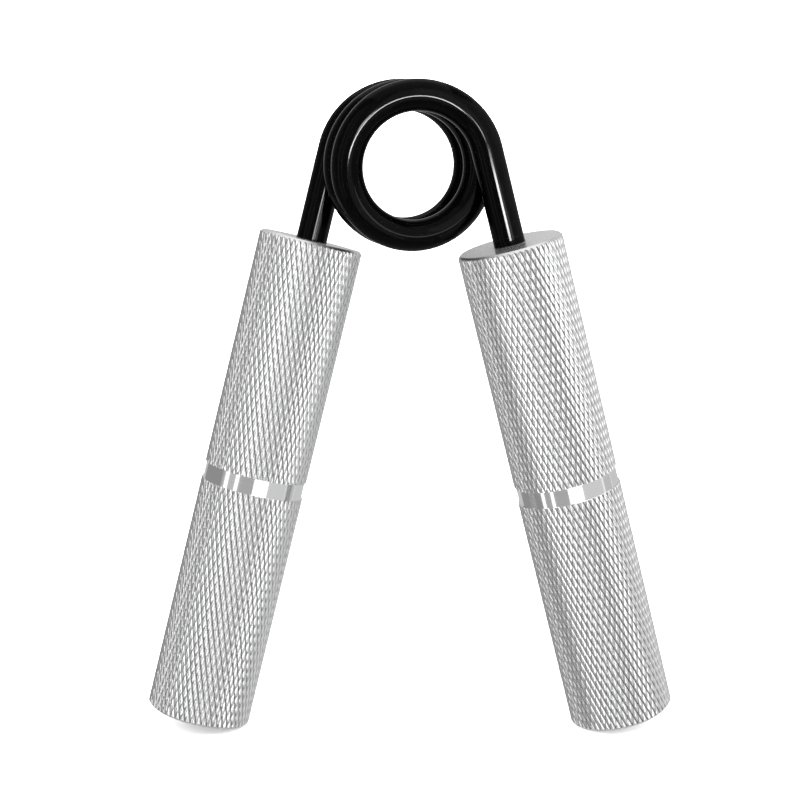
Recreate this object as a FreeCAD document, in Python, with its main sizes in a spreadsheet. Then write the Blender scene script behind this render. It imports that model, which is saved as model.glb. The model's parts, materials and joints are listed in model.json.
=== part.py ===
"""Hand grip strengthener: two knurled aluminium handles on the legs of one torsion spring.

Frame: +Z up, origin at the middle of the coil, +Y along the coil's axis from the front leg to
the rear one.  The front leg and the right handle are on the +X side, the rear leg and the left
handle on the -X side.  The handles swing together about the coil's axis.

The spring is one wire.  Its front leg is made as a piece of its own, because that leg turns
with the right handle while the coil stays with the left one.
"""
import FreeCAD, Part
import Sketcher

import os

# Driving dimensions in millimetres and degrees: alias, value, meaning.
SIZES = [
    ("wire_dia", 6.5, "diameter of the spring's round wire"),
    ("eye_dia", 22.0, "clear width of the eye inside the coil"),
    ("turn_gap", 1.5, "air between neighbouring turns at rest"),
    ("upright_turns", 2.5, "turns the coil would have with its legs hanging side by side"),
    ("leg_splay", 14.3, "each leg's angle from the vertical at rest"),
    ("leg_bare", 20.0, "bare leg between the coil and the handle's top face"),
    ("leg_cut", 0.2, "slit between the coil and the front leg, which turn apart"),
    ("tip_chamfer", 0.8, "chamfer round the buried tip of each leg"),
    ("handle_dia", 22.0, "outer diameter of a handle over its knurl"),
    ("handle_length", 104.0, "length of a handle"),
    ("end_chamfer", 0.6, "chamfer round both ends of a handle"),
    ("groove_width", 3.5, "width of the plain groove turned round the handle's middle"),
    ("groove_depth", 0.35, "depth of that groove"),
    ("bore_depth", 45.0, "full-width depth of the blind bore that holds the leg"),
    ("bore_room", 0.0, "radial room between the pressed-in leg and its bore"),
    ("drill_angle", 118.0, "included angle of the bore's drilled bottom"),
]

# Sizes that follow from the driving ones: alias, formula, meaning.
WORKED_OUT = [
    ("coil_radius", "=(eye_dia + wire_dia) / 2", "coil's axis to the wire's centre line"),
    ("coil_pitch", "=wire_dia + turn_gap", "advance of the wire in one turn"),
    ("coil_turns", "=upright_turns - leg_splay / 180", "turns between the splayed legs"),
    ("half_span", "=coil_pitch * coil_turns / 2", "coil's middle to the plane of either leg"),
    ("leg_length", "=leg_bare + bore_depth", "length of a leg with its buried part"),
    ("bore_radius", "=wire_dia / 2 + bore_room", "radius of the blind bore"),
    ("drill_point", "=bore_radius / tan(drill_angle / 2)", "height of the bore's drilled cone"),
    ("groove_top", "=(handle_length - groove_width) / 2", "handle's top face to its groove"),
]


def make_sheet(doc):
    """Write every size in a cell with an alias."""
    sheet = doc.addObject("Spreadsheet::Sheet", "Sizes")
    for row, (alias, value, meaning) in enumerate(SIZES + WORKED_OUT, start=1):
        sheet.set(f"A{row}", meaning)
        sheet.set(f"B{row}", str(value))
        sheet.setAlias(f"B{row}", alias)
    doc.recompute()


def make_body(doc, label, side, out="0", down="0"):
    """Start a body that is turned about the coil's axis until its own -Z runs along a leg.

    side is +1 for the front leg, which goes to the right, and -1 for the rear one.  The body's
    origin lies in that leg's plane, as far out from the coil's axis and down along the leg as
    the two formulas say.
    """
    body = doc.addObject("PartDesign::Body", label)
    body.Label = label
    body.Placement = FreeCAD.Placement(FreeCAD.Vector(), FreeCAD.Rotation(FreeCAD.Vector(0, 1, 0), 1))
    body.setExpression("Placement.Rotation.Angle", f"{-side} * Sizes.leg_splay")
    body.setExpression(
        "Placement.Base.x",
        f"{side} * ({out} * cos(Sizes.leg_splay) + {down} * sin(Sizes.leg_splay))",
    )
    body.setExpression("Placement.Base.y", f"{-side} * Sizes.half_span")
    body.setExpression(
        "Placement.Base.z",
        f"{out} * sin(Sizes.leg_splay) - {down} * cos(Sizes.leg_splay)",
    )
    return body


def make_sketch(body, role, name):
    """Attach an empty sketch to one of the body's own origin planes."""
    sketch = body.newObject("Sketcher::SketchObject", name)
    plane = next(part for part in body.Origin.OriginFeatures if part.Role == role)
    sketch.AttachmentSupport = [(plane, "")]
    sketch.MapMode = "FlatFace"
    return sketch


def bind_place(sketch, piece, point, right, below):
    """Hold one point of the sketch at two formulas, to the right of and below the origin."""
    if right == "0":
        sketch.addConstraint(Sketcher.Constraint("PointOnObject", piece, point, -2))
    else:
        start = sketch.evalExpression(right)
        number = sketch.addConstraint(Sketcher.Constraint("DistanceX", -1, 1, piece, point, start))
        sketch.setExpression(f"Constraints[{number}]", right)
    if below == "0":
        sketch.addConstraint(Sketcher.Constraint("PointOnObject", piece, point, -1))
    else:
        start = sketch.evalExpression(below)
        number = sketch.addConstraint(Sketcher.Constraint("DistanceY", piece, point, -1, 1, start))
        sketch.setExpression(f"Constraints[{number}]", below)


def draw_circle(sketch, diameter, right="0"):
    """Draw a circle on the sketch's horizontal axis, with its diameter and place bound."""
    centre = FreeCAD.Vector(sketch.evalExpression(right), 0, 0)
    start = sketch.evalExpression(diameter)
    piece = sketch.addGeometry(Part.Circle(centre, FreeCAD.Vector(0, 0, 1), start / 2))
    number = sketch.addConstraint(Sketcher.Constraint("Diameter", piece, start))
    sketch.setExpression(f"Constraints[{number}]", diameter)
    bind_place(sketch, piece, 3, right, "0")


def draw_outline(sketch, corners):
    """Draw a closed outline whose corners are each bound to (right, below) formulas."""
    places = [
        FreeCAD.Vector(sketch.evalExpression(right), -sketch.evalExpression(below), 0)
        for right, below in corners
    ]
    for place, following in zip(places, places[1:] + places[:1]):
        sketch.addGeometry(Part.LineSegment(place, following))
    for piece, (right, below) in enumerate(corners):
        before = (piece - 1) % len(corners)
        sketch.addConstraint(Sketcher.Constraint("Coincident", before, 2, piece, 1))
        bind_place(sketch, piece, 1, right, below)


def add_pad(body, sketch, name, length):
    """Extrude a sketch downwards along the leg."""
    pad = body.newObject("PartDesign::Pad", name)
    pad.Profile = sketch
    pad.Reversed = True
    pad.setExpression("Length", length)
    return pad


def add_groove(body, sketch, name):
    """Cut a sketch away all round the body's own vertical axis."""
    groove = body.newObject("PartDesign::Groove", name)
    groove.Profile = sketch
    groove.ReferenceAxis = (sketch, ["V_Axis"])
    groove.Angle = 360
    return groove


def chamfer_rims(doc, body, name, size, radius, depths):
    """Bevel the circular rims of one radius that lie at the given depths below the origin."""
    doc.recompute()
    solid = body.Tip
    rims = []
    for number, edge in enumerate(solid.Shape.Edges, start=1):
        if not isinstance(edge.Curve, Part.Circle) or abs(edge.Curve.Radius - radius) > 1e-6:
            continue
        if min(abs(edge.Curve.Center.z + depth) for depth in depths) < 1e-6:
            rims.append(f"Edge{number}")
    bevel = body.newObject("PartDesign::Chamfer", name)
    bevel.Base = (solid, rims)
    bevel.setExpression("Size", size)
    doc.recompute()


def make_spring(doc, sizes):
    """Wind the coil forwards from the rear leg and add that leg to it."""
    body = make_body(doc, "torsion_spring", side=-1)
    section = make_sketch(body, "XY_Plane", "wire_section")
    draw_circle(section, "Sizes.wire_dia", right="-Sizes.coil_radius")
    doc.recompute()

    coil = body.newObject("PartDesign::AdditiveHelix", "coil")
    coil.Profile = section
    coil.ReferenceAxis = (section, ["V_Axis"])
    coil.Mode = "pitch-turns-angle"
    coil.setExpression("Pitch", "Sizes.coil_pitch")
    coil.setExpression("Turns", "Sizes.coil_turns")
    coil.Angle = 0
    coil.LeftHanded = True
    coil.Reversed = True

    leg_section = make_sketch(body, "XY_Plane", "rear_leg_section")
    draw_circle(leg_section, "Sizes.wire_dia", right="-Sizes.coil_radius")
    add_pad(body, leg_section, "rear_leg", "Sizes.leg_length")
    chamfer_rims(
        doc, body, "rear_tip", "Sizes.tip_chamfer", sizes.wire_dia / 2, [sizes.leg_length]
    )
    return body


def make_front_leg(doc, sizes):
    """Make the front leg, which starts one slit below the coil's front end."""
    body = make_body(doc, "spring_front_leg", side=1, out="Sizes.coil_radius")
    section = make_sketch(body, "XY_Plane", "front_leg_section")
    section.setExpression("AttachmentOffset.Base.z", "-Sizes.leg_cut")
    draw_circle(section, "Sizes.wire_dia")
    add_pad(body, section, "front_leg", "Sizes.leg_length - Sizes.leg_cut")
    chamfer_rims(
        doc, body, "front_tip", "Sizes.tip_chamfer", sizes.wire_dia / 2, [sizes.leg_length]
    )
    return body


def make_handle(doc, sizes, label, side):
    """Turn one handle: bar, middle groove, blind drilled bore and bevelled ends."""
    body = make_body(doc, label, side, out="Sizes.coil_radius", down="Sizes.leg_bare")
    bar_section = make_sketch(body, "XY_Plane", f"{label}_section")
    draw_circle(bar_section, "Sizes.handle_dia")
    bar = add_pad(body, bar_section, f"{label}_bar", "Sizes.handle_length")

    groove_outline = make_sketch(body, "XZ_Plane", f"{label}_groove_outline")
    floor = "Sizes.handle_dia / 2 - Sizes.groove_depth"
    outside = "Sizes.handle_dia / 2 + Sizes.groove_depth"
    upper = "Sizes.groove_top"
    lower = "Sizes.groove_top + Sizes.groove_width"
    draw_outline(
        groove_outline, [(floor, upper), (outside, upper), (outside, lower), (floor, lower)]
    )
    groove = add_groove(body, groove_outline, f"{label}_groove")

    bore_outline = make_sketch(body, "XZ_Plane", f"{label}_bore_outline")
    wall = "Sizes.bore_radius"
    draw_outline(
        bore_outline,
        [
            ("0", "0"),
            (wall, "0"),
            (wall, "Sizes.bore_depth"),
            ("0", "Sizes.bore_depth + Sizes.drill_point"),
        ],
    )
    bore = add_groove(body, bore_outline, f"{label}_bore")
    chamfer_rims(
        doc,
        body,
        f"{label}_ends",
        "Sizes.end_chamfer",
        sizes.handle_dia / 2,
        [0, sizes.handle_length],
    )
    volumes = [feature.Shape.Volume for feature in (bar, groove, bore, body)]
    if volumes != sorted(set(volumes), reverse=True):
        raise RuntimeError(f"{label}: a cut took nothing away, volumes {volumes}")
    return body


def check(doc, bodies):
    """Stop if any object failed or any piece isn't one valid solid."""
    for item in doc.Objects:
        if "Invalid" in item.State or "Error" in item.State:
            raise RuntimeError(f"{item.Name} failed: {item.State}")
    for body in bodies:
        shape = body.Shape
        if shape.isNull() or not shape.isValid() or len(shape.Solids) != 1:
            raise RuntimeError(f"{body.Label} isn't one valid solid")
        print(f"{body.Label}: {shape.Volume:.1f} mm3")


def main():
    doc = FreeCAD.newDocument("hand_grip_strengthener")
    make_sheet(doc)
    sizes = doc.getObject("Sizes")
    bodies = [
        make_spring(doc, sizes),
        make_front_leg(doc, sizes),
        make_handle(doc, sizes, "left_handle", side=-1),
        make_handle(doc, sizes, "right_handle", side=1),
    ]
    doc.recompute()
    check(doc, bodies)
    os.makedirs("parts", exist_ok=True)
    for body in bodies:
        body.Shape.exportStep(f"parts/{body.Label}.step")


main()
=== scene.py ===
# %% [markdown]
# # A hand grip strengthener
# Two knurled aluminium handles sit on the legs of one coiled spring. Squeezing them winds the
# spring up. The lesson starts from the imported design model, which gives every size and place,
# and makes the visible pieces around it: one continuous black wire and two handles with real
# diamond knurling, cut into the metal and not painted on.

# %% Load the design model
import json
import math

import bmesh
import bpy
from mathutils import Matrix, Vector


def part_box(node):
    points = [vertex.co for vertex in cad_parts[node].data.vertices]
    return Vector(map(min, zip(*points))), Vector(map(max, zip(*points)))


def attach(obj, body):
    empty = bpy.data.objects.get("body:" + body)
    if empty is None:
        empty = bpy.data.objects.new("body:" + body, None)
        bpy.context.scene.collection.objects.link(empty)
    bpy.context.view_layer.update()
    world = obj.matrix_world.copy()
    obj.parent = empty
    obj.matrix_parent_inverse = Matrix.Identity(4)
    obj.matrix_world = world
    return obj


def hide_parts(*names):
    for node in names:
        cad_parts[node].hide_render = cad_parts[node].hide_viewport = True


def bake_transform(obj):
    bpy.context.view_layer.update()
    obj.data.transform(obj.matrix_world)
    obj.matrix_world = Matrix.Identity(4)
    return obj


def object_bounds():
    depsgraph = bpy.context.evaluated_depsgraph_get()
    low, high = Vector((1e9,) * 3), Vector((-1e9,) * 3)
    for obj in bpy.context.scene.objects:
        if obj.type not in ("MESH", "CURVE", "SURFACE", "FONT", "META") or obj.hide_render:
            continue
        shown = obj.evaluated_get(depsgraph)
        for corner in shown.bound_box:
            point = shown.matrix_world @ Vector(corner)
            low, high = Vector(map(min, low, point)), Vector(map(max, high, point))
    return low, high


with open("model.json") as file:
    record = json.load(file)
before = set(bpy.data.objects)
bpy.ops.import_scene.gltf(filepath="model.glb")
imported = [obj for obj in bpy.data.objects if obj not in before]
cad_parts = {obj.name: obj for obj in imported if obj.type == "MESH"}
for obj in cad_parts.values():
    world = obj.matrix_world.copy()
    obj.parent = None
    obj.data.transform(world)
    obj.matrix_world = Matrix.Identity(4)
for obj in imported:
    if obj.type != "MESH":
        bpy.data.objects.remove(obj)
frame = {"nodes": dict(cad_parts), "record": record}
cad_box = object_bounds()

print("nodes:", sorted(frame["nodes"]))
print("box of the design model:", cad_box)

# %% [markdown]
# ## Sizes
# The record names the axis of each handle, and the boxes of the design model give the wire's
# thickness and the coil's width. So nearly every size below is worked out from the frame. Only
# what the boxes cannot tell, such as the groove and the depth of the bore, is a number. The coil
# has two and a half turns when its legs hang straight down, and each leg that is splayed
# outwards takes a little off that.

# %% Sizes from the frame
MM = 0.001
mounts = {mount["name"]: mount for mount in frame["record"]["mounts"]}
down_right = Vector(mounts["right_grip"]["axis"])
down_left = Vector(mounts["left_grip"]["axis"])
splay = math.atan2(down_right.x, -down_right.z)

leg_low, leg_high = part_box("spring_front_leg")
coil_low, coil_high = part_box("torsion_spring")
wire_r = (leg_high.y - leg_low.y) / 2
coil_r = coil_high.z - wire_r
half_span = coil_high.y - wire_r
upright_turns = 2.5
coil_turns = upright_turns - splay / math.pi

handle_r = mounts["right_grip"]["dims"]["r_mm"] * MM
rim = 0.6 * MM
handle_length = mounts["right_grip"]["dims"]["length_mm"] * MM + 2 * rim
half_handle = handle_length / 2
groove_width = 3.5 * MM
groove_depth = 0.35 * MM
bore_depth = 45 * MM
bore_bare = 20 * MM
print(f"wire {wire_r / MM:.2f}, coil {coil_r / MM:.2f}, span {half_span / MM:.3f} mm")
print(f"splay {math.degrees(splay):.2f} degrees, handle {handle_length / MM:.1f} mm long")

# %% [markdown]
# ## Camera
# The camera stands about 40 cm away, a little left of the coil's axis and a little above it, with
# the lens of a close portrait. It looks at a point between the handles.

# %% Camera
lens_per_sensor = 2.42644375
view_turn = math.radians(-12.891)
view_tilt = math.radians(9.438)
view_roll = math.radians(-0.136)
view_distance = 398.488 * MM
aim_right = -1.997 * MM
aim_up = -48.309 * MM

ahead = Vector((-math.sin(view_turn) * math.cos(view_tilt),
                math.cos(view_turn) * math.cos(view_tilt),
                -math.sin(view_tilt)))
across = Vector((math.cos(view_turn), math.sin(view_turn), 0))
upward = across.cross(ahead)
eye = aim_right * across + aim_up * upward - view_distance * ahead
rolled_across = math.cos(view_roll) * across + math.sin(view_roll) * upward
rolled_up = math.cos(view_roll) * upward - math.sin(view_roll) * across

camera_data = bpy.data.cameras.new("camera")
camera_data.sensor_width = 36
camera_data.lens = lens_per_sensor * camera_data.sensor_width
camera = bpy.data.objects.new("camera", camera_data)
bpy.context.scene.collection.objects.link(camera)
turn = Matrix((rolled_across, rolled_up, -ahead)).transposed().to_4x4()
camera.matrix_world = Matrix.Translation(eye) @ turn
bpy.context.scene.camera = camera
print("camera at", [round(value / MM, 1) for value in eye], "mm")

# %% [markdown]
# ## Working by hand, in code
# Every piece starts as a primitive and is shaped in edit mode. An operator acts on whatever is
# selected, so each step first clears the selection and then picks faces or corners by where
# they are. Three small helpers do that.

# %% Selection helpers
def clear_selection():
    for thing in bpy.context.selected_objects:
        thing.select_set(False)
    bpy.context.view_layer.objects.active = None


def use(piece):
    """Make one piece the only selected and active object."""
    clear_selection()
    piece.select_set(True)
    bpy.context.view_layer.objects.active = piece


def edit(piece, kind="VERT"):
    """Open a piece in edit mode with nothing selected."""
    use(piece)
    bpy.ops.object.mode_set(mode="EDIT")
    bpy.ops.mesh.select_mode(type=kind)
    bpy.ops.mesh.select_all(action="DESELECT")


def pick(kind, test):
    """Select the parts of the open mesh that pass the test, and only them."""
    mesh = bmesh.from_edit_mesh(bpy.context.active_object.data)
    bpy.ops.mesh.select_all(action="DESELECT")
    found = [part for part in getattr(mesh, kind) if test(part)]
    for part in found:
        part.select_set(True)
    mesh.select_flush_mode()
    bmesh.update_edit_mesh(bpy.context.active_object.data)
    return len(found)


def close():
    bpy.ops.object.mode_set(mode="OBJECT")


def apply(piece, modifier):
    use(piece)
    bpy.ops.object.modifier_apply(modifier=modifier.name)


clear_selection()


# %% [markdown]
# ## The lattice of the knurling
# A knurling wheel presses two sets of slanting valleys into the bar, and what is left standing
# between them is a field of small diamonds. They lie on a lattice: so many round the bar, and
# each row down is turned by a little more than half a diamond, because the two sets of valleys
# slant unequally. Nothing else has to be known to place a diamond's four corners, which all lie
# on the valley floor.

# %% Corners of one diamond
diamonds_round = 57
row_drop = 1.953 * MM
row_twist = 0.566
knurl_step = 2 * math.pi / diamonds_round
crest_r = handle_r - 0.01 * MM
dome_rise = 0.30 * MM
valley_r = crest_r - dome_rise


def on_bar(radius, steps, height):
    """A point on the bar, so many diamond steps round from the X axis."""
    angle = steps * knurl_step
    return Vector((radius * math.cos(angle), radius * math.sin(angle), height))


skew = row_twist - 0.5
corners = {
    "top": on_bar(valley_r, -skew, row_drop),
    "bottom": on_bar(valley_r, skew, -row_drop),
    "far": on_bar(valley_r, 0.5, 0),
    "near": on_bar(valley_r, -0.5, 0),
}
stride = valley_r * knurl_step
print(f"a diamond is {stride / MM:.2f} mm wide and {2 * row_drop / MM:.2f} mm high")

# %% [markdown]
# The diamond starts as a circle of four corners, which is a square standing on its tip. Each
# corner is moved to its place on the lattice.

# %% Square to diamond
sides = {"top": (0, 1), "bottom": (0, -1), "far": (1, 0), "near": (-1, 0)}
bpy.ops.mesh.primitive_circle_add(vertices=4, radius=row_drop, fill_type="NGON",
                                  location=(valley_r, 0, 0), rotation=(0, math.pi / 2, 0))
knurl = bpy.context.active_object
knurl.name = "knurled_bar"
bpy.ops.object.transform_apply(location=True, rotation=True, scale=True)
edit(knurl)
for name, (side_y, side_z) in sides.items():
    start = Vector((valley_r, side_y * row_drop, side_z * row_drop))
    pick("verts", lambda vert: (vert.co - start).length < row_drop / 2)
    bpy.ops.transform.translate(value=corners[name] - start)
bpy.ops.mesh.select_mode(type="FACE")
bpy.ops.mesh.select_all(action="SELECT")
bpy.ops.mesh.normals_make_consistent(inside=False)
facing = bmesh.from_edit_mesh(knurl.data).faces[:][0].normal.x
if facing < 0:
    bpy.ops.mesh.flip_normals()
print("corners placed:", len(sides))

# %% [markdown]
# ## The dome of a diamond
# The diamond is raised in a few insets. Each one rises less than the last, so it is domed like a
# pillow, as pressed metal is, and catches a streak of every light.

# %% Dome
dome_steps = (0.2, 0.45, 0.73, 1.0)
half_gap = 0.5 * stride * row_drop / math.hypot(row_twist * stride, row_drop)


def pillow(share):
    """Height of the dome at this share of the way from its edge to its crest."""
    return dome_rise * (1 - (1 - share) ** 2)


reached = 0.0
for share in dome_steps[:-1]:
    bpy.ops.mesh.inset(thickness=(share - reached) * half_gap,
                       depth=pillow(share) - pillow(reached))
    reached = share
bpy.ops.mesh.poke(offset=pillow(1) - pillow(reached))
print("faces of the dome:", len(bmesh.from_edit_mesh(knurl.data).faces))

# %% [markdown]
# ## Saddles in the shallow valleys
# One wheel of a knurling tool often bites deeper than the other. So the two sides that face the
# shallow valleys are split in the middle and lifted into saddles, and the deep valleys run on as
# long slanting lines. Proportional editing draws the nearest part of the dome up with them.

# %% Saddles
saddle_rise = 0.15 * MM
saddle_reach = 0.5 * MM


def rises(line):
    """True for a line along the shallow valleys, up to the right as seen from outside."""
    least_slant = 0.12
    return line.y * line.z > least_slant * line.length_squared


bpy.ops.mesh.select_mode(type="EDGE")
pick("edges", lambda edge: rises(edge.verts[1].co - edge.verts[0].co))
bpy.ops.mesh.subdivide(number_cuts=1)
bpy.ops.mesh.select_mode(type="VERT")
saddles = [(corners["top"] + corners["near"]) / 2, (corners["bottom"] + corners["far"]) / 2]
pick("verts", lambda vert: min((vert.co - saddle).length for saddle in saddles) < 0.1 * MM)
outwards = 1 + saddle_rise / valley_r
bpy.ops.transform.resize(value=(outwards, outwards, 1), center_override=(0, 0, 0),
                         use_proportional_edit=True, proportional_edit_falloff="SMOOTH",
                         proportional_size=saddle_reach)
close()
print(f"one diamond: {len(knurl.data.polygons)} faces, valley floor at {valley_r / MM:.3f} mm")

# %% [markdown]
# ## A ring of diamonds, and rows of rings
# The diamond is copied round the bar with the spin tool in its duplicate mode. An Array modifier
# then steps the ring down the bar, and its offset comes from an empty that is turned by the
# twist of one row. Neighbours share their corners, so merging doubles leaves one whole sleeve.

# %% Ring and rows
weld = 0.005 * MM
edit(knurl)
bpy.ops.mesh.select_all(action="SELECT")
bpy.ops.mesh.spin(steps=diamonds_round - 1, dupli=True,
                  angle=knurl_step * (diamonds_round - 1), center=(0, 0, 0), axis=(0, 0, 1))
bpy.ops.mesh.select_all(action="SELECT")
bpy.ops.mesh.remove_doubles(threshold=weld)
spare_rows = 2
rows = math.ceil(handle_length / row_drop) + 2 * spare_rows
bpy.ops.mesh.select_all(action="SELECT")
bpy.ops.transform.translate(value=(0, 0, half_handle + spare_rows * row_drop))
close()

step_down = bpy.data.objects.new("step_down", None)
bpy.context.scene.collection.objects.link(step_down)
step_down.location = (0, 0, -row_drop)
step_down.rotation_euler = (0, 0, row_twist * knurl_step)
stack = knurl.modifiers.new("rows", "ARRAY")
stack.count = rows
stack.use_relative_offset = False
stack.use_object_offset = True
stack.offset_object = step_down
apply(knurl, stack)
bpy.data.objects.remove(step_down)
edit(knurl)
bpy.ops.mesh.select_all(action="SELECT")
bpy.ops.mesh.remove_doubles(threshold=weld)
close()
print(f"{rows} rows of {diamonds_round}: {len(knurl.data.polygons)} faces")

# %% [markdown]
# The sleeve still has a zigzag edge at each end. Drawn out past the end, flattened and filled,
# each edge becomes a cap, so the sleeve is a closed bar that can be cut like metal.

# %% Close the bar
edit(knurl, "EDGE")
for side in (1, -1):
    pick("edges", lambda edge: edge.is_boundary and side * edge.verts[0].co.z > 0)
    level = side * (half_handle + (spare_rows + 3) * row_drop)
    bpy.ops.mesh.extrude_edges_move(TRANSFORM_OT_translate={"value": (0, 0, side * row_drop)})
    bpy.ops.transform.resize(value=(1, 1, 0), center_override=(0, 0, level))
    bpy.ops.mesh.edge_face_add()
bpy.ops.mesh.select_all(action="SELECT")
bpy.ops.mesh.normals_make_consistent(inside=False)
print("open edges left:",
      sum(edge.is_boundary for edge in bmesh.from_edit_mesh(knurl.data).edges))
close()

# %% [markdown]
# ## The turned blank
# On the lathe the bar's ends are faced and bevelled, a plain groove is turned at the middle, and
# the hole for the spring's leg is drilled. The blank starts as a cylinder a hair wider than the
# crests, so only the groove, the rims and the faces touch the knurling. Two bisects mark the
# groove, its ring of faces is pushed inwards, the rims are bevelled, and the top face is inset
# and pushed down to make the hole with the cone of a drill's point.

# %% Turned blank
facets = 128
margin = 0.05 * MM
blank_r = handle_r + margin
rim_cut = rim + margin
hair = 1e-6
bpy.ops.mesh.primitive_cylinder_add(vertices=facets, radius=blank_r, depth=handle_length,
                                    location=(0, 0, 0))
blank = bpy.context.active_object
blank.name = "turned_blank"
edit(blank)
for side in (1, -1):
    bpy.ops.mesh.select_all(action="SELECT")
    bpy.ops.mesh.bisect(plane_co=(0, 0, side * groove_width / 2), plane_no=(0, 0, 1))
bpy.ops.mesh.select_mode(type="FACE")
pick("faces", lambda face: abs(face.calc_center_median().z) < groove_width / 4)
bpy.ops.mesh.extrude_region_shrink_fatten(
    TRANSFORM_OT_shrink_fatten={"value": -(groove_depth + margin)})
bpy.ops.mesh.select_mode(type="EDGE")
pick("edges", lambda edge: all(abs(abs(v.co.z) - half_handle) < hair for v in edge.verts))
bpy.ops.mesh.bevel(offset=rim_cut, offset_type="OFFSET", segments=1)
print("blank:", len(bmesh.from_edit_mesh(blank.data).faces), "faces")

# %% [markdown]
# The hole's mouth gets the smallest break of its sharp edge, as a countersink leaves. The lower
# face gets rings of faces round a middle point, which its turning marks need later.

# %% Hole and lower face
hole_r = wire_r + 0.02 * MM
mouth_break = 0.15 * MM
tool_mark_r = 1.2 * MM
face_r = blank_r - rim_cut
drill_point = math.radians(118)
drill_slope = math.tan(drill_point / 2)
lower_dish = 0.05 * MM
bpy.ops.mesh.select_mode(type="FACE")
pick("faces", lambda face: face.normal.z > 0.99 and face.calc_center_median().length
     > half_handle - 10 * hair and len(face.verts) > 4)
bpy.ops.mesh.inset(thickness=face_r - hole_r - mouth_break)
bpy.ops.mesh.inset(thickness=mouth_break, depth=-mouth_break)
bpy.ops.mesh.extrude_region_move(
    TRANSFORM_OT_translate={"value": (0, 0, mouth_break - bore_depth)})
bpy.ops.mesh.poke(offset=-hole_r / drill_slope)
pick("faces", lambda face: face.normal.z < -0.99 and len(face.verts) > 4)
bpy.ops.mesh.inset(thickness=face_r - tool_mark_r)
bpy.ops.mesh.poke(offset=-lower_dish)
bpy.ops.mesh.select_all(action="SELECT")
bpy.ops.mesh.normals_make_consistent(inside=False)
close()
print("blank with its hole:", len(blank.data.polygons), "faces")


# %% [markdown]
# ## Shader maths as plain sums
# A finish is a small network of nodes. The first class wraps one output of a node, so that
# numbers can be added and multiplied as in any other sum, and each sign adds its Math node. The
# second makes every other kind of node by one method, for a material or for the world. The third
# is a material, with the few patterns that the finishes below share.

# %% Shader helpers
class Signal:
    """A number that flows between nodes."""

    def __init__(self, finish, socket):
        self.finish = finish
        self.socket = socket

    def combine(self, operation, first, second):
        return self.finish.node("ShaderNodeMath", {"operation": operation},
                                {0: first, 1: second}, "Value")

    def __add__(self, other):
        return self.combine("ADD", self, other)

    def __radd__(self, other):
        return self.combine("ADD", other, self)

    def __sub__(self, other):
        return self.combine("SUBTRACT", self, other)

    def __rsub__(self, other):
        return self.combine("SUBTRACT", other, self)

    def __mul__(self, other):
        return self.combine("MULTIPLY", self, other)

    def __rmul__(self, other):
        return self.combine("MULTIPLY", other, self)


class Network:
    """The nodes of one material or of the world, and the method that makes them."""

    def __init__(self, owner):
        owner.use_nodes = True
        self.tree = owner.node_tree

    def feed(self, node, sockets):
        for key, value in sockets.items():
            if isinstance(value, Signal):
                self.tree.links.new(value.socket, node.inputs[key])
            else:
                node.inputs[key].default_value = value

    def node(self, kind, settings, sockets, output):
        made = self.tree.nodes.new(kind)
        for key, value in settings.items():
            setattr(made, key, value)
        self.feed(made, sockets)
        return Signal(self, made.outputs[output])

    def ease(self, value, low, high, to_low=0.0, to_high=1.0):
        """Map a range smoothly onto another."""
        return self.node("ShaderNodeMapRange", {"interpolation_type": "SMOOTHSTEP"},
                         {"Value": value, "From Min": low, "From Max": high,
                          "To Min": to_low, "To Max": to_high}, "Result")


class Finish(Network):
    """One material, its main shader, and the patterns that its finish is made of."""

    def __init__(self, name):
        self.material = bpy.data.materials.new(name)
        super().__init__(self.material)
        self.shader = self.tree.nodes["Principled BSDF"]

    def place(self):
        return self.node("ShaderNodeTexCoord", {}, {}, "Object")

    def grain(self, size, detail=2.0):
        """Noise on the object's own coordinates, with lumps of about this size."""
        return self.node("ShaderNodeTexNoise", {},
                         {"Vector": self.place(), "Scale": 1 / size, "Detail": detail}, "Fac")

    def stored(self, name):
        return self.node("ShaderNodeAttribute", {"attribute_name": name}, {}, "Fac")

    def blend(self, factor, first, second):
        """Mix two colours. The node keeps its colour sockets at these places in its lists."""
        factor_in, first_in, second_in, colour_out = 0, 6, 7, 2
        return self.node("ShaderNodeMix", {"data_type": "RGBA"},
                         {factor_in: factor, first_in: first, second_in: second}, colour_out)

    def bump(self, height, distance, strength=1.0):
        return self.node("ShaderNodeBump", {},
                         {"Height": height, "Distance": distance, "Strength": strength}, "Normal")


def grey(level, warmth=0.0):
    return (level + warmth, level, level - warmth, 1)


# %% [markdown]
# ## Knurled aluminium
# The crests are burnished by the wheel and by hands, so they are the palest and the smoothest.
# The valleys keep a duller, slightly darker skin. The distance from the bar's axis, stored on
# each corner of the mesh further down, tells the material how far up a diamond it is. The very
# foot of a valley is painted dark in a thin crease: painted shade, for the shadow that falls
# deep in the valleys.

# %% Knurled aluminium
painted_shade_rise = 0.11 * MM
knurled = Finish("knurled_aluminium")
from_axis = knurled.stored("from_axis")
height = knurled.ease(from_axis, valley_r, crest_r)
cloud = knurled.grain(3 * MM, 3.0)
fleck = knurled.grain(0.25 * MM, 3.0)
shine = height * (0.8 + 0.4 * cloud)
# Painted shade: the colour goes dark at the very foot of each valley, for the shadow that falls
# there.
painted_crease_shade = knurled.ease(from_axis, valley_r, valley_r + painted_shade_rise)
knurled.feed(knurled.shader, {
    "Metallic": 1.0,
    "Base Color": knurled.blend(painted_crease_shade * (0.7 + 0.3 * shine), grey(0.14, -0.003),
                                grey(0.93, -0.002)),
    "Roughness": 0.19 - 0.07 * shine + 0.08 * (fleck - 0.5),
    "Normal": knurled.bump(fleck, 0.012 * MM, 0.6),
})
print("knurled aluminium:", len(knurled.tree.nodes), "nodes")

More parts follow.
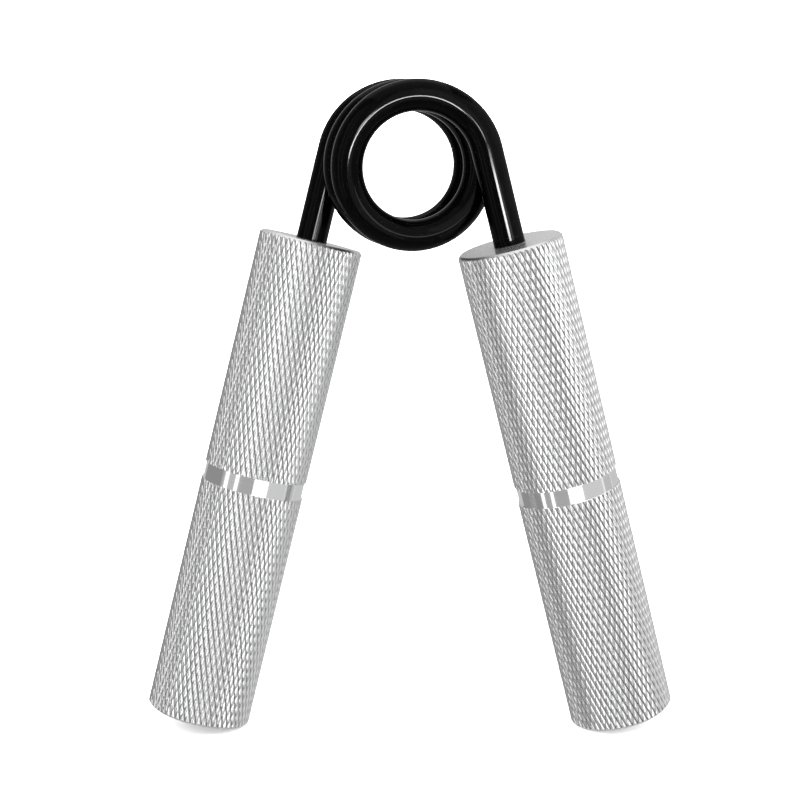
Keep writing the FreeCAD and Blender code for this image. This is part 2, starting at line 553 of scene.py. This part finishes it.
# %% [markdown]
# ## Turned aluminium
# A lathe tool leaves rings: very fine, evenly round the axis, and of slightly uneven depth. The
# sum of the height along the bar and the distance from its axis runs across the rings both in
# the groove and on the flat faces, so one strip of one-dimensional noise makes both. The groove
# is cut with a polished form tool and is nearly a mirror. The faces are cut by a moving point,
# so about a third of each is dull furrow between bright rings.

# %% Turned aluminium
def turned_finish(name, ring_width, ring_depth, dull_level, dull_roughness):
    """Rings of this width and depth. Those that lie below the dull level are furrow."""
    finish = Finish(name)
    travel = finish.stored("from_axis") + finish.stored("along")
    ring = finish.node("ShaderNodeTexNoise", {"noise_dimensions": "1D"},
                       {"W": travel, "Scale": 1 / ring_width, "Detail": 2.0}, "Fac")
    furrow = 1 - finish.ease(ring, dull_level, dull_level + 0.06)
    smear = finish.grain(4 * MM, 2.0)
    finish.feed(finish.shader, {
        "Metallic": 1.0,
        "Base Color": finish.blend(ring, grey(0.86, -0.003), grey(0.92, -0.002)),
        "Roughness": 0.06 + 0.05 * smear + dull_roughness * furrow,
        "Normal": finish.bump(ring, ring_depth, 0.5),
    })
    print(name, len(finish.tree.nodes), "nodes")
    return finish


polished = turned_finish("polished_groove", ring_width=0.12 * MM, ring_depth=0.001 * MM,
                         dull_level=0.3, dull_roughness=0.1)
faced = turned_finish("faced_aluminium", ring_width=0.09 * MM, ring_depth=0.002 * MM,
                      dull_level=0.46, dull_roughness=0.5)
bevelled = turned_finish("bevelled_rim", ring_width=0.09 * MM, ring_depth=0.002 * MM,
                         dull_level=0.9, dull_roughness=0.28)

# %% [markdown]
# ## Cutting the bar to the blank
# A Boolean modifier keeps what the knurled bar and the turned blank have in common. The
# knurling then runs right out into the bevels and the groove, as it does when metal is cut, and
# each face keeps the material of the piece that it came from.

# %% Intersect
knurl.data.materials.append(knurled.material)
for finish in (faced, polished, bevelled):
    blank.data.materials.append(finish.material)
polished_slot = 1
bevelled_slot = 2
for face in blank.data.polygons:
    if abs(face.center.z) < groove_width:
        face.material_index = polished_slot
    elif abs(face.center.z) > half_handle - rim_cut and abs(face.normal.z) < 0.9:
        face.material_index = bevelled_slot
cut = knurl.modifiers.new("cut", "BOOLEAN")
cut.operation = "INTERSECT"
cut.solver = "EXACT"
cut.material_mode = "TRANSFER"
cut.object = blank
apply(knurl, cut)
bpy.data.objects.remove(blank)
print("cut:", len(knurl.data.polygons), "faces")

# %% [markdown]
# A Boolean leaves a few corners that nearly touch, so these are merged. Shading is smooth over
# the domes and sharp at the rims, which is decided by the angle between neighbouring faces.

# %% Clean the cut
handle = knurl
sliver = 0.0005 * MM
sharpest_smooth = math.radians(42)
edit(handle)
bpy.ops.mesh.select_all(action="SELECT")
bpy.ops.mesh.remove_doubles(threshold=sliver)
bpy.ops.mesh.select_all(action="SELECT")
bpy.ops.mesh.dissolve_degenerate(threshold=sliver)
bpy.ops.mesh.select_all(action="SELECT")
bpy.ops.mesh.normals_make_consistent(inside=False)
close()
use(handle)
bpy.ops.object.shade_smooth_by_angle(angle=sharpest_smooth)
print("handle:", len(handle.data.polygons), "faces,", len(handle.data.materials), "materials")

# %% [markdown]
# The finishes need to know how far each corner is from the axis and how far along it. Both are
# stored now, while the handle still stands upright at the origin.

# %% Store distances
along = handle.data.attributes.new("along", "FLOAT", "POINT")
axis_distance = handle.data.attributes.new("from_axis", "FLOAT", "POINT")
along.data.foreach_set("value", [vert.co.z for vert in handle.data.vertices])
axis_distance.data.foreach_set(
    "value", [math.hypot(vert.co.x, vert.co.y) for vert in handle.data.vertices])
print("stored on", len(handle.data.vertices), "corners")

# %% [markdown]
# ## Two handles
# Both handles are cut from the same bar stock, so each is a copy with its own mesh. Nobody lines
# up the diamonds when the handles are pressed on, so each is turned by its own part of a diamond.
# Then it is tilted to its leg's slope and moved to the middle of its grip, and its place is
# applied to the mesh, so both objects sit at the origin.

# %% Place the handles
handles = {}
for side, part_turn in (("left", 0.35), ("right", 0.1)):
    piece = handle.copy()
    piece.data = handle.data.copy()
    piece.name = f"knurled_handle_{side}"
    bpy.context.scene.collection.objects.link(piece)
    grip = mounts[f"{side}_grip"]
    tilt = math.atan2(-grip["axis"][0], -grip["axis"][2])
    own_turn = Matrix.Rotation(part_turn * knurl_step, 4, "Z")
    piece.matrix_world = (Matrix.Translation(Vector(grip["pos_m"]))
                          @ Matrix.Rotation(tilt, 4, "Y") @ own_turn)
    use(piece)
    bpy.ops.object.transform_apply(location=True, rotation=True, scale=True)
    handles[side] = piece
    low = [min(vert.co[i] for vert in piece.data.vertices) / MM for i in range(3)]
    print(piece.name, "lowest corner", [round(value, 2) for value in low])
bpy.data.objects.remove(handle)

# %% [markdown]
# ## The spring's coil
# The spring is one round wire: a leg, two and a bit turns, and the other leg. A circle the
# thickness of the wire is placed where the front leg meets the coil. A Screw modifier sweeps it
# round the coil's axis while it climbs, and its last ring ends where the other leg begins.

# %% Sweep the coil
wire_sides = 48
coil_steps = 180
sweep = 2 * math.pi * coil_turns
bpy.ops.mesh.primitive_circle_add(vertices=wire_sides, radius=wire_r,
                                  location=(coil_r, -half_span, 0))
wire = bpy.context.active_object
wire.name = "torsion_spring_wire"
bpy.ops.object.transform_apply(location=True, rotation=True, scale=True)
screw = wire.modifiers.new("coil", "SCREW")
screw.axis = "Y"
screw.angle = -sweep
screw.screw_offset = 2 * half_span
screw.steps = coil_steps
screw.render_steps = coil_steps
apply(wire, screw)
wire.rotation_euler = (0, -splay, 0)
bpy.ops.object.transform_apply(location=True, rotation=True, scale=True)
print("coil:", len(wire.data.polygons), "faces")

# %% [markdown]
# The wire climbs as it goes round, but the legs do not climb, and a real wire has no corner
# where the two meet. So over the first and last part of a turn the climb is eased to nothing.
# The rings of the sweep come one after another in the mesh, which makes this a short loop.

# %% Ease the climb at both ends
climb = 2 * half_span / sweep
ease_angle = math.radians(18)
for index, vert in enumerate(wire.data.vertices):
    turned_by = (index // wire_sides) * sweep / coil_steps
    to_end = sweep - turned_by
    vert.co.y -= climb * turned_by * math.exp(-turned_by / ease_angle)
    vert.co.y += climb * to_end * math.exp(-to_end / ease_angle)
wire.data.update()
print(f"climb {climb * 2 * math.pi / MM:.2f} mm a turn, eased over about"
      f" {math.degrees(ease_angle):.0f} degrees")

# %% [markdown]
# ## The legs
# Each leg is the end ring of the coil drawn straight out along the slope of its handle. Its
# tip is filled and bevelled, as the end of a cut wire is, and it stands deep in its handle.

# %% Draw out the legs
tip_bevel = 0.8 * MM
reach = 1.02 * wire_r
tip_edge = math.radians(30)
edit(wire)
for side, down in ((1, down_right), (-1, down_left)):
    root = Vector((side * coil_r * math.cos(splay), -side * half_span,
                   coil_r * math.sin(splay)))
    pick("verts", lambda vert: vert.is_boundary and (vert.co - root).length < reach)
    bpy.ops.mesh.extrude_edges_move(TRANSFORM_OT_translate={"value": down * bore_bare})
    bpy.ops.mesh.extrude_edges_move(TRANSFORM_OT_translate={"value": down * bore_depth})
    bpy.ops.mesh.edge_face_add()
    bpy.ops.mesh.bevel(offset=tip_bevel, segments=2)
bpy.ops.mesh.select_all(action="SELECT")
bpy.ops.mesh.normals_make_consistent(inside=False)
close()
use(wire)
bpy.ops.object.shade_smooth_by_angle(angle=tip_edge)
print("wire:", len(wire.data.polygons), "faces, lowest point",
      round(min(vert.co.z for vert in wire.data.vertices) / MM, 2), "mm")

# %% [markdown]
# ## Black enamel
# The spring wears a deep black, glossy coat, baked on. It is hardly ever perfectly flat: a
# faint, wide waviness bends its reflections a little, and handling dulls it in soft patches.

# %% Black enamel
enamel = Finish("black_enamel")
wave = enamel.grain(2.2 * MM, 1.0)
dust = enamel.grain(0.3 * MM, 3.0)
patch = enamel.grain(9 * MM, 2.0)
enamel.feed(enamel.shader, {
    "Base Color": enamel.blend(patch, grey(0.0001), grey(0.0003)),
    "Roughness": 0.05 + 0.04 * patch + 0.02 * dust,
    "Specular IOR Level": 0.06,
    "Normal": enamel.bump(wave, 0.004 * MM, 0.4),
})
wire.data.materials.append(enamel.material)
print("black enamel:", len(enamel.tree.nodes), "nodes")

# %% [markdown]
# ## Joining the handles to the moving model
# Each handle rides on its own side. The wire's place is applied to its mesh, where it stays.
# The parts of the design model that the new pieces stand for are hidden.

# %% Ride, and hide the design parts
for side, piece in handles.items():
    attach(piece, f"{side}_side")
    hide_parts(f"{side}_handle")
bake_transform(wire)
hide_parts("torsion_spring", "spring_front_leg")

# %% [markdown]
# ## Floor and backdrop
# The setting is a plain white floor inside a plain white dome. Neither shows in the metal:
# reflections come from the lights and from the even grey of the world instead, as if the
# object stood among grey cards.

# %% Floor and dome
floor_z = cad_box[0][2]
dome_r = 3.0
bpy.ops.mesh.primitive_circle_add(vertices=96, radius=dome_r, fill_type="NGON",
                                  location=(0, 0, floor_z))
floor = bpy.context.active_object
floor.name = "floor"
bpy.ops.mesh.primitive_uv_sphere_add(segments=64, ring_count=32, radius=dome_r,
                                     location=(0, 0, floor_z))
dome = bpy.context.active_object
dome.name = "backdrop"
paper = Finish("white_paper")
paper.feed(paper.shader, {"Base Color": grey(0.88), "Roughness": 0.9})
glow = Finish("white_backdrop")
glow.feed(glow.shader, {"Base Color": grey(0.9), "Emission Color": grey(1.0),
                        "Emission Strength": 1.05, "Roughness": 0.9})
for thing, finish in ((floor, paper), (dome, glow)):
    thing.data.materials.append(finish.material)
    thing.visible_glossy = False
    thing.visible_shadow = False
print("floor at", round(floor_z / MM, 2), "mm")

# %% [markdown]
# ## Lights
# Tall softboxes stand round the object. A round bar shows what is beside it twice as far round
# as its surface turns, so each box is placed by the turn at which it should show: so many
# degrees to the right of the camera, so many degrees wide, and from a low to a high angle.

# %% A softbox
middle_z = (cad_box[0][2] + cad_box[1][2]) / 2
light_distance = 2.5
toward_eye = Vector((-ahead.x, -ahead.y, 0)).normalized()


def softbox(name, turn, span, radiance, low=-40, high=45):
    """A tall light, with its angles in degrees as seen from the object."""
    beta = math.radians(turn)
    out = math.cos(beta) * toward_eye + math.sin(beta) * across
    bottom = light_distance * math.tan(math.radians(low))
    top = light_distance * math.tan(math.radians(high))
    data = bpy.data.lights.new(name, "AREA")
    data.shape = "RECTANGLE"
    data.size = 2 * light_distance * math.tan(math.radians(span / 2))
    data.size_y = top - bottom
    data.energy = radiance * math.pi * data.size * data.size_y
    lamp = bpy.data.objects.new(name, data)
    bpy.context.scene.collection.objects.link(lamp)
    place = out * light_distance + Vector((0, 0, middle_z + (top + bottom) / 2))
    side = Vector((0, 0, 1)).cross(out)
    lamp.matrix_world = (Matrix.Translation(place)
                         @ Matrix((side, Vector((0, 0, 1)), out)).transposed().to_4x4())
    lamp.visible_camera = False
    return lamp


# %% [markdown]
# The key light just right of the camera gives the wide white band in the grooves, and two
# strips on the left give the two narrow ones. The dimmer cards fill the space between them with
# greys, those at the back light the rims, and the high ones light the upper faces.

# %% Lights for the aluminium
softbox("left_card", turn=-38, span=74, radiance=0.13, low=-34)
softbox("left_strip", turn=-62, span=9, radiance=1.0, low=-36)
softbox("left_strip_inner", turn=-37, span=8, radiance=1.0, low=-32)
softbox("key", turn=17, span=32, radiance=1.3, low=-32)
softbox("right_card", turn=59, span=57, radiance=0.36, low=-42)
softbox("right_side_card", turn=98, span=32, radiance=0.25, low=-44)
softbox("back_right", turn=146, span=68, radiance=0.32)
softbox("back_left", turn=-160, span=40, radiance=0.30)
softbox("high_left", turn=-38, span=64, radiance=0.25, low=0, high=50)
softbox("high_right", turn=60, span=90, radiance=0.6, low=0, high=50)
top_card = softbox("top_card", turn=0, span=60, radiance=0.7)
top_card.matrix_world = Matrix.Translation((0, 0, light_distance))
print("lights for the aluminium:", len(bpy.data.lights))

# %% [markdown]
# Black enamel sends back hardly a hundredth of the light, so the small lights that draw its
# sharp lines are very bright. The right one is slanted like the leg in which it shows, so that
# it lies along the leg and hardly shows on the coil. They are linked to the spring alone, as a
# flag or a barn door would keep them off the aluminium.

# %% Hot strips, for the spring only
right_strip = softbox("right_leg_strip", turn=13.5, span=14, radiance=240, low=-7.9, high=-4.7)
right_strip.matrix_world = right_strip.matrix_world @ Matrix.Rotation(splay, 4, "Z")
left_strip = softbox("left_leg_strip", turn=8, span=6, radiance=110, low=-1.4, high=2)
falloff = softbox("leg_falloff", turn=27, span=30, radiance=8, low=-8, high=-0.6)
spring_only = bpy.data.collections.new("spring_only")
spring_only.objects.link(wire)
for lamp in (right_strip, left_strip, falloff):
    lamp.light_linking.receiver_collection = spring_only
print("lights in all:", len(bpy.data.lights))

# %% [markdown]
# ## The grey of the world
# What no card covers is an even grey. Steeply below the object it grows paler, as a white table
# would look, because from above the handles show little else. The colours are kept plain, with
# no film look laid over them, so that white stays white.

# %% World
level_grey = 0.29
table_grey = 0.50
table_edge = -0.50
table_middle = -0.90
world = bpy.data.worlds.new("grey_cards")
sky = Network(world)
heading = sky.node("ShaderNodeTexCoord", {}, {}, "Generated")
upness = sky.node("ShaderNodeSeparateXYZ", {}, {"Vector": heading}, "Z")
paleness = sky.ease(upness, table_middle, table_edge, table_grey, level_grey)
sky.feed(sky.tree.nodes["Background"], {"Color": grey(1.0), "Strength": paleness})
bpy.context.scene.world = world
bpy.context.scene.view_settings.view_transform = "Standard"
print("world:", len(sky.tree.nodes), "nodes")

# %% [markdown]
# ## The end
# The visible model must stay inside the box of the design model. This last step only clears
# the selection.

# %% Clear the selection
clear_selection()
